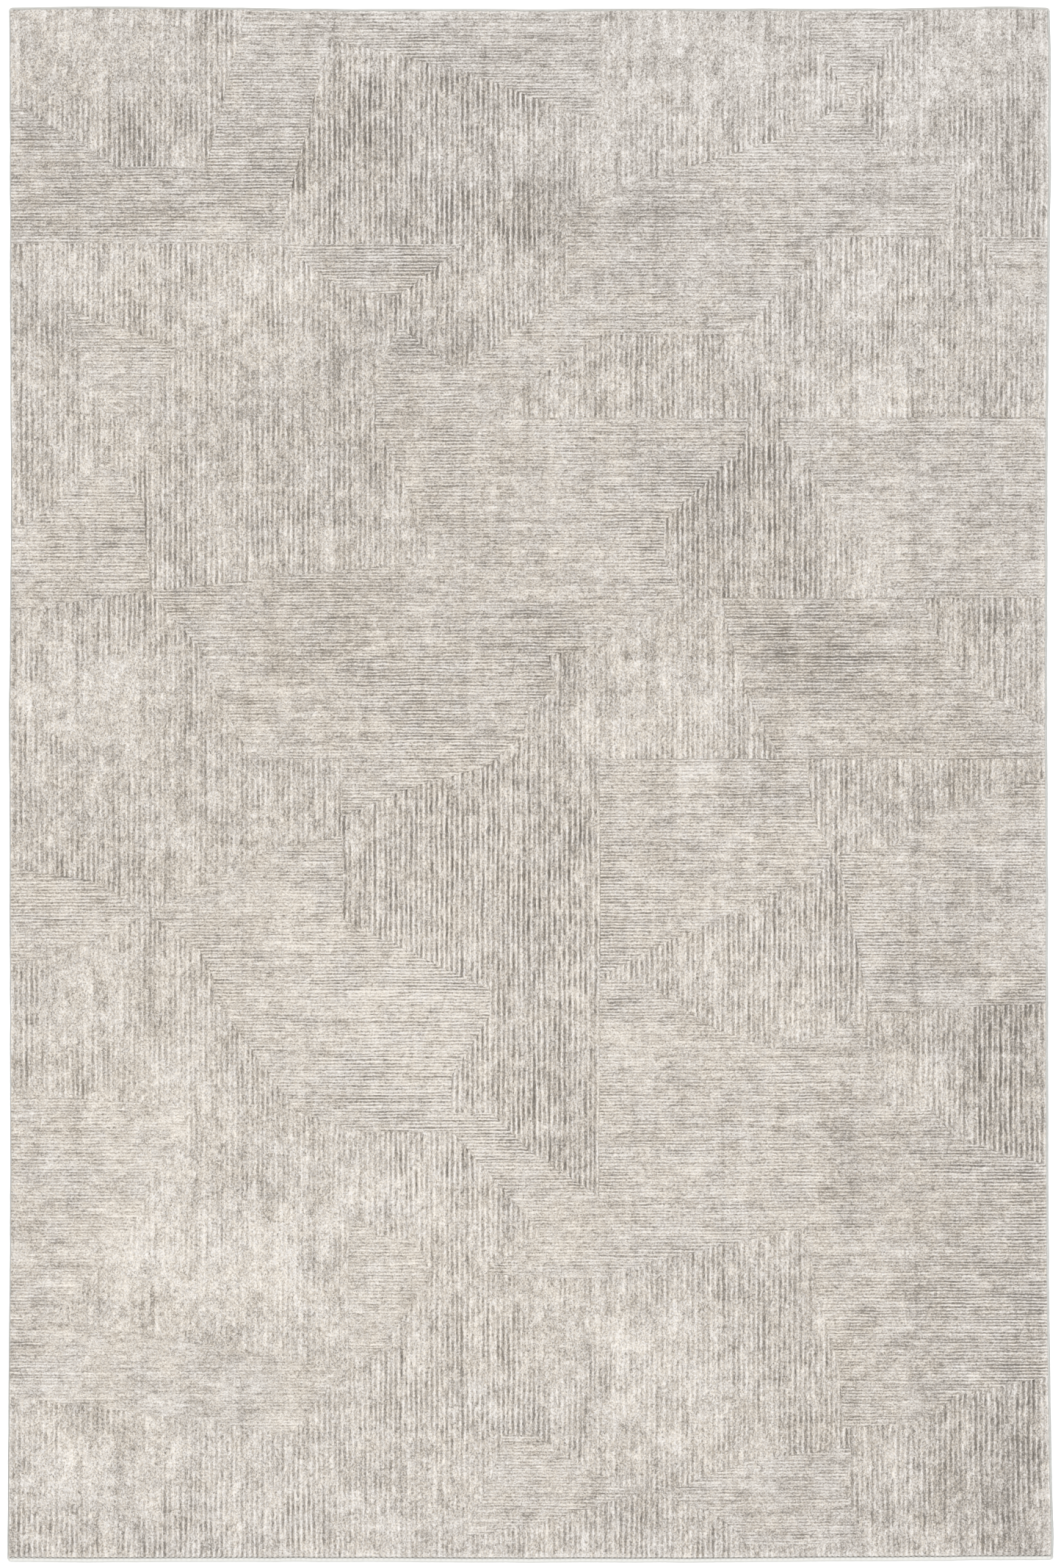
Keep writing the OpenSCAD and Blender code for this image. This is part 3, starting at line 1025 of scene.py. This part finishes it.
@dataclass
class PileField:
    """One field of pile: a closed sheet of ribs in the plan of its node."""

    node: str  # the node that it stands for
    rib: RibPattern  # its ribs
    design: PileDesign  # the pile's tone and relief
    lie: Lie  # how the cloth lies

    def outline(self) -> list[tuple[Vector, Vector]]:
        """Reads the field's plan from its node.

        Returns:
            The straight edges of its top, each as its two ends.
        """
        bm = bmesh.new()
        bm.from_mesh(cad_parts[self.node].data)
        bmesh.ops.remove_doubles(bm, verts=bm.verts, dist=0.01 * MM)
        top = max(v.co.z for v in bm.verts) - 0.01 * MM
        bmesh.ops.delete(bm, geom=[v for v in bm.verts if v.co.z < top], context="VERTS")
        bmesh.ops.dissolve_limit(bm, angle_limit=math.radians(0.2), verts=bm.verts, edges=bm.edges)
        ends = [(e.verts[0].co.copy(), e.verts[1].co.copy()) for e in bm.edges if e.is_boundary]
        bm.free()
        return ends

    @staticmethod
    def inside(x: Array, y: Array, edges: list[tuple[Vector, Vector]]) -> Array:
        """Tells which places lie inside a closed outline.

        Args:
            x: places across the rug.
            y: places along it.
            edges: the outline's straight edges, each as its two ends.

        Returns:
            True for each place inside it.
        """
        crossed = np.zeros(len(x), bool)
        for a, b in edges:
            if a.y == b.y:
                continue
            spans = (a.y > y) != (b.y > y)
            crossed ^= spans & (x < a.x + (y - a.y) * (b.x - a.x) / (b.y - a.y))
        return crossed

    def plan(self) -> BMesh:
        """Cuts a flat grid, whose lines follow the ribs, to the field's outline.

        Returns:
            The flat field, at a height of 1, over a skirt and a floor at a height of 0.
        """
        edges = self.outline()
        low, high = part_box(self.node)
        sx, sy = self.rib.grid_step()
        i0, i1 = math.floor(low.x / sx), math.ceil(high.x / sx)
        j0, j1 = math.floor(low.y / sy), math.ceil(high.y / sy)
        bm = bmesh.new()
        bmesh.ops.create_grid(bm, x_segments=i1 - i0, y_segments=j1 - j0, size=0.5)
        bmesh.ops.scale(bm, verts=bm.verts, vec=((i1 - i0) * sx, (j1 - j0) * sy, 1))
        bmesh.ops.translate(bm, verts=bm.verts, vec=((i0 + i1) / 2 * sx, (j0 + j1) / 2 * sy, 1))
        for a, b in edges:
            normal = Vector((b.y - a.y, a.x - b.x, 0)).normalized()
            geom = bm.verts[:] + bm.edges[:] + bm.faces[:]
            bmesh.ops.bisect_plane(bm, geom=geom, dist=0.002 * MM, plane_co=a, plane_no=normal)
        bm.faces.ensure_lookup_table()
        middles = np.array([f.calc_center_median()[:2] for f in bm.faces])
        kept = self.inside(middles[:, 0], middles[:, 1], edges)
        bmesh.ops.delete(bm, geom=[bm.faces[i] for i in np.flatnonzero(~kept)], context="FACES")
        for e in bm.edges:
            e.smooth = not e.is_boundary
        close_sheet(bm, 0)
        return bm

    def build(self) -> Object:
        """Builds the field's piece, with its tone and gutters stored for the yarn.

        Returns:
            The piece.
        """
        piece = as_object(self.plan(), self.node + "_pile", YARNS[self.rib.run])
        mesh = piece.data
        co = places(mesh)
        x, y, up = co[:, 0].copy(), co[:, 1].copy(), co[:, 2] > 0.5
        self._map(mesh, x, y, up)
        clear = self.design.clearness(self.rib, x, y)
        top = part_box(self.node)[1].z + self.rib.proud
        ground = self.design.bed.ground
        height = (top - ground - self.design.drop(self.rib, clear, x, y)) * self.design.rounding(x, y)
        co[:, 2] = ground + np.where(up, height, 0)
        put_values(mesh, "tone", self.design.tone(self.rib, x, y))
        put_values(mesh, "rib", self.rib.turned(x, y)[0] / self.rib.pitch)
        put_values(mesh, "clear", clear)
        # deep marks the pile's foot, where the yarn takes painted shade
        put_values(mesh, "deep", ~up)
        put_values(mesh, "warm", self.design.warmth(x, y))
        sway, lean = self.design.sway(x, y), self.design.leaning(x, y)
        co[:, 0] += sway[0] + np.where(up, lean[0], 0)
        co[:, 1] += sway[1] + np.where(up, lean[1], 0)
        return self.lie.lay(piece, co, f"{self.rib.run.value}_rib_pile", self.node)

    @staticmethod
    def _map(mesh: Mesh, x: Array, y: Array, up: Array) -> None:
        """Lays the top out flat on the map, with the skirt and the floor in a strip above it.

        Args:
            mesh: the field's mesh.
            x: its vertices' places across the rug.
            y: their places along it.
            up: which of them are on top.
        """
        index = read(mesh.loops, "vertex_index", kind=np.int64)
        starts = read(mesh.polygons, "loop_start", kind=np.int64)
        sizes = np.diff(np.append(starts, len(index)))
        is_top = np.repeat(np.minimum.reduceat(up[index].astype(int), starts) == 1, sizes)
        u = (x - x.min()) / np.ptp(x)
        v = (y - y.min()) / np.ptp(y)
        round_it = (u + v) / 2
        start, wide, tall = SHEET_MAP
        strip_start, strip_tall = STRIP_MAP
        flat = np.stack([start + wide * u[index], start + tall * v[index]], 1)
        strip = np.stack([start + wide * round_it[index], strip_start + strip_tall * up[index]], 1)
        put_map(mesh, np.where(is_top[:, None], flat, strip))


@dataclass
class Pile:
    """The whole pile: every field in the frame."""

    design: PileDesign
    lie: Lie
    kinds: dict[str, RibPattern] = field(default_factory=lambda: {"long": LONG_RIBS, "cross": CROSS_RIBS})

    def build(self) -> list[Object]:
        """Builds every field in order of its name."""
        nodes = sorted(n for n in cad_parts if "_rib_field_" in n)
        return [PileField(n, self.kinds[n.split("_")[0]], self.design, self.lie).build() for n in nodes]


# --- edges ---


@dataclass
class Roll:
    """A roll of thread or tape: a closed section carried along a straight line, then shaped."""

    name: str  # the piece's name
    section: Array  # the section's corners as (out, up), round the roll
    start: float  # where it starts along its length
    end: float  # where it ends
    rings: int  # how many steps it takes between them

    def tube(self) -> BMesh:
        """Builds the roll as (out, along, up), closed round its section and at both ends.

        Returns:
            The roll.
        """
        count = len(self.section)
        bm = bmesh.new()
        bmesh.ops.create_grid(bm, x_segments=count, y_segments=self.rings, size=0.5)
        for v in bm.verts:
            turn = round((v.co.x + 0.5) * count) % count
            out, up = self.section[turn]
            v.co = (out, self.start + (v.co.y + 0.5) * (self.end - self.start), up)
        bmesh.ops.remove_doubles(bm, verts=bm.verts, dist=0.001 * MM)
        bmesh.ops.holes_fill(bm, edges=[e for e in bm.edges if e.is_boundary])
        bmesh.ops.recalc_face_normals(bm, faces=bm.faces)
        return bm


def oval(wide: float, high: float, points: int, square: float = 2.6) -> Array:
    """Gives a rounded-square section round its own middle.

    Args:
        wide: its full width.
        high: its full height.
        points: how many corners it has.
        square: 2 for an ellipse, more for a squarer section.

    Returns:
        Rows of (out, up).
    """
    turn = np.arange(points) * 2 * math.pi / points
    c, s = np.cos(turn), np.sin(turn)
    reach = (np.abs(c) ** square + np.abs(s) ** square) ** (-1 / square)
    return np.stack([wide / 2 * c * reach, high / 2 * s * reach], 1)


@dataclass
class Serging:
    """The overcast thread round one side of the rug."""

    side: int  # -1 for the left side, 1 for the right
    node: str  # the node that it stands for
    lie: Lie  # how the cloth lies
    spread: float  # how much wider than the node its turns lie, in metres
    finish: WoundThread  # its thread
    turn: float = 2.4 * MM  # distance from one turn of thread to the next, in metres
    ridge: float = 0.45 * MM  # how far a turn stands out from the valley beside it, in metres
    slant: float = 0.8  # how far a turn leans along the rug in going round, in turns
    flank_shade: float = 0.6  # painted shade: how much darker its outer flank is
    loose: float = 0.5  # how far one turn's ridge strays from the next one's, as a share of it
    bulge: float = 0.06  # how far the roll's thickness strays along the rug, as a share of it
    corners: int = 12  # corners round its section

    def build(self) -> Object:
        """Builds the roll and winds its turns of thread into it.

        Returns:
            The piece.
        """
        low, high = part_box(self.node)
        wide, tall = high.x - low.x + self.spread, high.z - low.z
        turns = round((high.y - low.y) / self.turn)
        roll = Roll(self.node + "_thread", oval(wide, tall, self.corners), low.y, high.y, turns * 4)
        piece = as_object(roll.tube(), roll.name, self.finish)
        co = places(piece.data)
        out, along, up = co[:, 0].copy(), co[:, 1].copy(), co[:, 2].copy()
        angle = np.arctan2(up / tall, out / wide)
        lean = self.slant * angle / (2 * math.pi)
        phase = along / self.turn + lean * np.abs(np.sin(angle))
        wave = 0.5 + 0.5 * np.cos(2 * math.pi * phase)
        loose = 1 + self.loose * Noise(71 + self.side, 1.0, 1.0).at(np.round(phase), np.zeros(len(co)))
        shrink = 1 - (1 - wave) * loose * self.ridge / (tall / 2)
        bulge = 1 + self.bulge * Noise(73 + self.side, 1.0, 0.04).at(np.zeros(len(co)), along)
        centre_x = self.side * (max(abs(low.x), abs(high.x)) - wide / 2)
        co[:, 0] = centre_x + out * shrink * bulge
        co[:, 2] = tall / 2 + up * shrink
        # painted shade in the valleys between turns and on the outer flank, which faces away from the light
        shaded = self.flank_shade * smoothstep(0.12, 0.5, self.side * out / wide)
        put_values(piece.data, "gutter", 0.6 * (1 - wave) + shaded)
        return self.lie.lay(piece, co, "serging_thread", self.node)


@dataclass
class EndHem:
    """The taped hem over one end of the ground, with its leg folded under."""

    end: int  # 1 for the top end, -1 for the bottom
    node: str  # the node that it stands for
    lie: Lie  # how the cloth lies
    finish: TwillTape  # its tape
    stitch_pitch: float = 8 * MM  # distance from stitch to stitch, where the tape puckers, in metres
    pucker: float = 0.5 * MM  # how far the tape draws down at a stitch, in metres
    pull: float = 0.3 * MM  # how far the stitch pulls its inner edge outwards, in metres
    swell: float = 0.2 * MM  # how far its top rises and falls along the end, in metres
    step: float = 2 * MM  # ring spacing along the hem, in metres
    flank_shade: float = 0.9  # painted shade: how much darker its outer flank is
    radius: float = 1.4 * MM  # radius of its folded corners, in metres

    def fold(self, out: float, up: float, first: float, steps: int = 4) -> list[tuple[float, float]]:
        """Gives a quarter turn round a folded corner of the tape.

        Args:
            out: the corner's centre, out from the middle of the rug.
            up: its height.
            first: where the turn starts, in degrees.
            steps: how many steps it takes.

        Returns:
            Pairs of (out, up).
        """
        turns = [math.radians(first + 90 * k / steps) for k in range(steps + 1)]
        return [(out + self.radius * math.cos(t), up + self.radius * math.sin(t)) for t in turns]

    def section(self) -> Array:
        """Gives the hem's section as (out from the middle of the rug, up), with its leg.

        Returns:
            Rows of (out, up).
        """
        low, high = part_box(self.node)
        ground_low, ground_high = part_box("ground_weave")
        outer, top = high.y if self.end > 0 else -low.y, high.z
        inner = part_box("serging_left")[1].y
        leg = -high.y if self.end < 0 else low.y
        wall = ground_high.y
        points = [(leg, ground_low.z), (leg, low.z)]
        points += self.fold(outer - self.radius, low.z + self.radius, -90)
        points += self.fold(outer - self.radius, top - self.radius, 0)
        points += self.fold(inner + self.radius, top - self.radius, 90)
        points += [(inner, ground_high.z), (wall, ground_high.z), (wall, ground_low.z)]
        return np.array(points)

    def build(self) -> Object:
        """Builds the hem and puckers it at its stitches.

        Returns:
            The piece.
        """
        low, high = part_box(self.node)
        rings = round((high.x - low.x) / self.step)
        roll = Roll(self.node + "_tape", self.section(), low.x, high.x, rings)
        piece = as_object(roll.tube(), roll.name, self.finish)
        co = places(piece.data)
        out, along, up = co[:, 0].copy(), co[:, 1].copy(), co[:, 2].copy()
        inner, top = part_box("serging_left")[1].y, high.z
        at_stitch = np.cos(math.pi * along / self.stitch_pitch) ** 6
        on_top = smoothstep(0.55 * top, 0.9 * top, up)
        near = (1 - smoothstep(0.5 * MM, 3.5 * MM, out - inner)) * on_top
        rise = on_top * Noise(81 + self.end, 0.03, 1.0).at(along, up * 0)
        co[:, 0] = along
        co[:, 1] = self.end * (out + self.pull * near * at_stitch)
        co[:, 2] = up - self.pucker * near * at_stitch + self.swell * rise
        # painted shade on the outer flank and in the puckers at the stitches along the inner edge
        flank_shade = self.flank_shade * smoothstep(4.0 * MM, 6 * MM, out - inner)
        put_values(piece.data, "gutter", 0.35 * near * (0.4 + at_stitch) + flank_shade)
        if self.end > 0:
            piece.data.flip_normals()
        return self.lie.lay(piece, co, "hem_tape", self.node)


@dataclass
class HemStitches:
    """The row of stitches in the groove along one hem."""

    node: str  # the node that it stands for
    lie: Lie  # how the cloth lies
    full: float = 1.8  # how much thicker than its node the thread lies
    raised: float = 0.7 * MM  # how far the cloth under it lifts it, in metres
    reach: float = 1.1  # how much longer than its node's stitches its own are
    lean: float = 0.25 * MM  # how far a stitch's ends stray off the row, in metres
    slim: float = 0.45  # how much thinner a stitch is at its ends
    dip: float = 0.35 * MM  # how far its ends dip into the cloth, in metres
    sides: int = 6  # corners round one stitch
    rings: int = 5  # steps along one stitch

    def spans(self) -> list[tuple[float, float]]:
        """Reads where each stitch of the node starts and ends along the hem."""
        xs = sorted({round(v.co.x, 5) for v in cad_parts[self.node].data.vertices})
        return list(zip(xs[::2], xs[1::2]))

    def build(self) -> Object:
        """Builds a stitch for each one in the node, dipping at both ends into the cloth.

        Returns:
            The piece.
        """
        low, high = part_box(self.node)
        thick = (high.z - low.z) * self.full
        middle = Vector((0, (low.y + high.y) / 2, low.z + thick / 2 + self.raised))
        bm = bmesh.new()
        for k, (start, end) in enumerate(self.spans()):
            long = (end - start) * self.reach
            section = oval(thick, thick, self.sides, 2.0)
            one = Roll(self.node, section, -long / 2, long / 2, self.rings).tube()
            lean = self.lean * math.sin(2.3 * k)
            for v in one.verts:
                share = 2 * v.co.y / long
                dip = abs(share) ** 3
                slim = 1 - self.slim * dip
                out, up = v.co.x * slim + lean * share, v.co.z * slim - self.dip * dip
                v.co = middle + Vector(((start + end) / 2 + v.co.y, out, up))
            join(bm, one)
        bmesh.ops.recalc_face_normals(bm, faces=bm.faces)
        piece = as_object(bm, self.node + "_thread", SEWING_THREAD)
        put_values(piece.data, "gutter", np.full(len(piece.data.vertices), 0.2))
        return self.lie.lay(piece, places(piece.data), "sewing_thread", self.node)


@dataclass
class CornerTacks:
    """Four bar tacks, each a few turns of thread laid side by side over the corner's join."""

    node: str  # the node that they stand for
    lie: Lie  # how the cloth lies
    turns: int = 7  # turns of thread in one tack
    full: float = 1.6  # how much thicker than its node the thread lies
    ridge: float = 0.14  # how far a turn stands out, as a share of the tack's section
    taper: float = 0.5  # how much thinner the tack is at its ends
    corners: int = 10  # corners round a tack's section

    def build(self) -> Object:
        """Builds the four tacks as ridged bars.

        Returns:
            The piece.
        """
        low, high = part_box(self.node)
        serging_low, serging_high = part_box("serging_right")
        middle_x = (serging_low.x + serging_high.x) / 2
        wide, tall = 2 * (high.x - middle_x), high.z - low.z
        length = 2 * (high.y - serging_high.y)
        bm = bmesh.new()
        for sx in (-1, 1):
            for sy in (-1, 1):
                section = oval(wide, tall * self.full, self.corners, 2.2)
                one = Roll(self.node, section, -length / 2, length / 2, self.turns * 6).tube()
                for v in one.verts:
                    share = v.co.y / (length / 2)
                    turn = 2 * math.pi * self.turns * (share + 1) / 2
                    thick = 1 - self.ridge * (1 - math.cos(turn))
                    thick *= 1 - self.taper * abs(share) ** 6
                    v.co.x, v.co.z = v.co.x * thick, v.co.z * thick
                offset = (sx * middle_x, sy * serging_high.y, low.z + tall * 0.2)
                bmesh.ops.translate(one, verts=one.verts, vec=offset)
                join(bm, one)
        piece = as_object(bm, self.node + "_thread", TACK_THREAD)
        co = places(piece.data)
        # painted shade between the turns of each tack
        put_values(piece.data, "gutter", 0.3 + 0.3 * np.cos(2 * math.pi * self.turns * co[:, 1] / length))
        return self.lie.lay(piece, co, "sewing_thread", self.node)


# --- ground and back ---


@dataclass
class Backing:
    """The woven ground and the size coat under it."""

    lie: Lie  # how the cloth lies
    row: float = 5 * MM  # distance between the weft rows that stand out of the back, in metres
    relief: float = 0.22 * MM  # how far a row stands out, in metres

    def slab(self, node: str, columns: int, rows: int) -> BMesh:
        """Builds a thin closed slab in a node's box, with a grid on its faces.

        Args:
            node: the node whose box it fills.
            columns: grid steps across the rug.
            rows: grid steps along it.

        Returns:
            The slab.
        """
        low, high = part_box(node)
        bm = bmesh.new()
        bmesh.ops.create_grid(bm, x_segments=columns, y_segments=rows, size=0.5)
        bmesh.ops.scale(bm, verts=bm.verts, vec=(high.x - low.x, high.y - low.y, 1))
        bmesh.ops.translate(bm, verts=bm.verts, vec=((low.x + high.x) / 2, (low.y + high.y) / 2, low.z))
        bmesh.ops.reverse_faces(bm, faces=bm.faces)
        close_sheet(bm, high.z)
        return bm

    def ground(self) -> Object:
        """Builds the woven ground.

        Returns:
            The piece.
        """
        finish = BackWeave("ground", (206, 200, 188), (224, 220, 211), 2.2 * MM)
        piece = as_object(self.slab("ground_weave", 80, 120), "ground_weave_cloth", finish)
        return self.lie.lay(piece, places(piece.data), "ground", "ground_weave")

    def coat(self) -> Object:
        """Builds the size coat with the weft rows showing through it.

        Returns:
            The piece.
        """
        low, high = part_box("size_coat")
        rows = round((high.y - low.y) / self.row) * 4
        finish = BackWeave("size_coat", (196, 184, 160), (222, 216, 202), 2.5 * MM, 0.7)
        piece = as_object(self.slab("size_coat", 16, rows), "size_coat_back", finish)
        co = places(piece.data)
        under = co[:, 2] < (low.z + high.z) / 2
        inside = smoothstep(0, 2 * MM, np.minimum(high.x - np.abs(co[:, 0]), high.y - np.abs(co[:, 1])))
        rib = 0.5 - 0.5 * np.cos(2 * math.pi * (co[:, 1] - low.y) / self.row)
        co[:, 2] += np.where(under, self.relief * rib * inside, 0)
        return self.lie.lay(piece, co, "size_coat", "size_coat")


def dress_cords() -> None:
    """Gives the selvedge cords inside the serging their twisted finish."""
    for node in ("selvedge_cord_left", "selvedge_cord_right"):
        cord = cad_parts[node]
        cord.data.materials.clear()
        cord.data.materials.append(TwistedCord().material())
        log.info("%s: dressed", node)


# --- studio ---


@dataclass
class Studio:
    """The floor, the light and the camera straight above."""

    room: float = 1.01  # strength of the even light from all round
    # each lamp's name, strength, spread and turns about X and Y, in degrees
    lamps: tuple = (("key", 1.78, 24.0, (-28.0, -21.0)), ("fill", 0.74, 60.0, (24.0, 28.0)))
    floor_side: float = 60.0  # side of the floor, in metres
    # how far the floor lies under the rug, so that no two faces meet, in metres
    floor_gap: float = 0.1 * MM
    camera_height: float = 12.0  # height of the camera over the rug, in metres
    view_long: float = 2.422  # length of floor that the picture's long side takes in, in metres
    # the camera's place off the rug's middle, in metres
    aside: tuple[float, float] = (2.3 * MM, 0.8 * MM)

    def build(self) -> None:
        """Builds the whole studio."""
        self.floor()
        self.light()
        self.camera()

    def floor(self) -> None:
        """Lays the floor at the rug's foot."""
        bm = bmesh.new()
        bmesh.ops.create_grid(bm, x_segments=1, y_segments=1, size=self.floor_side / 2)
        bmesh.ops.translate(bm, verts=bm.verts, vec=(0, 0, -self.floor_gap))
        floor = as_object(bm, "studio_floor", StudioFloor())

    def light(self) -> None:
        """Sets an even bright room and one broad soft light from the upper left."""
        scene = bpy.context.scene
        world = bpy.data.worlds.new("studio")
        scene.world = world
        world.use_nodes = True
        back = world.node_tree.nodes["Background"]
        back.inputs["Color"].default_value = (1.0, 1.0, 1.0, 1.0)
        back.inputs["Strength"].default_value = self.room
        for name, strength, spread, turn in self.lamps:
            lamp = bpy.data.lights.new(name, "SUN")
            lamp.energy, lamp.angle = strength, math.radians(spread)
            holder = bpy.data.objects.new(name, lamp)
            holder.rotation_euler = (math.radians(turn[0]), math.radians(turn[1]), 0)
            scene.collection.objects.link(holder)
        scene.view_settings.view_transform = "Standard"
        scene.view_settings.look = "None"

    def camera(self) -> None:
        """Hangs a long-lens camera over the rug, looking straight down."""
        data = bpy.data.cameras.new("camera")
        data.lens = data.sensor_width * self.camera_height / self.view_long
        data.clip_end = 100.0
        camera = bpy.data.objects.new("camera", data)
        camera.location = (*self.aside, self.camera_height)
        bpy.context.scene.collection.objects.link(camera)
        bpy.context.scene.camera = camera


# --- the whole rug ---


def main() -> None:
    logging.basicConfig(level=logging.INFO, format="%(name)s: %(message)s")
    Studio().build()
    bed = Bed.of_frame()
    lie = Lie(bed)
    backing = Backing(lie)
    ground, coat = backing.ground(), backing.coat()
    # the same serging thread, painted greyer on the left as shaded and paler on the right as lit
    grey = WoundThread("shaded_serging", (208, 208, 204), (150, 150, 146))
    pale = WoundThread("lit_serging", (236, 236, 232), (160, 162, 158))
    sides = [
        Serging(-1, "serging_left", lie, 0.0, grey).build(),
        Serging(1, "serging_right", lie, 1.2 * MM, pale).build(),
    ]
    # the same hem tape at both ends, painted paler at the bottom end as lit and plainer at the top as
    # shaded
    plain = TwillTape("shaded_top_tape", (228, 227, 222), (186, 185, 180))
    bright = TwillTape("lit_bottom_tape", (255, 254, 250), (206, 206, 201))
    hems = [
        EndHem(1, "end_hem_top", lie, plain).build(),
        EndHem(-1, "end_hem_bottom", lie, bright).build(),
    ]
    stitches = [HemStitches(f"hem_stitches_{end}", lie).build() for end in ("top", "bottom")]
    tacks = CornerTacks("corner_tacks", lie).build()
    dress_cords()
    fields = Pile(PileDesign(bed), lie).build()


if __name__ == "__main__":
    main()
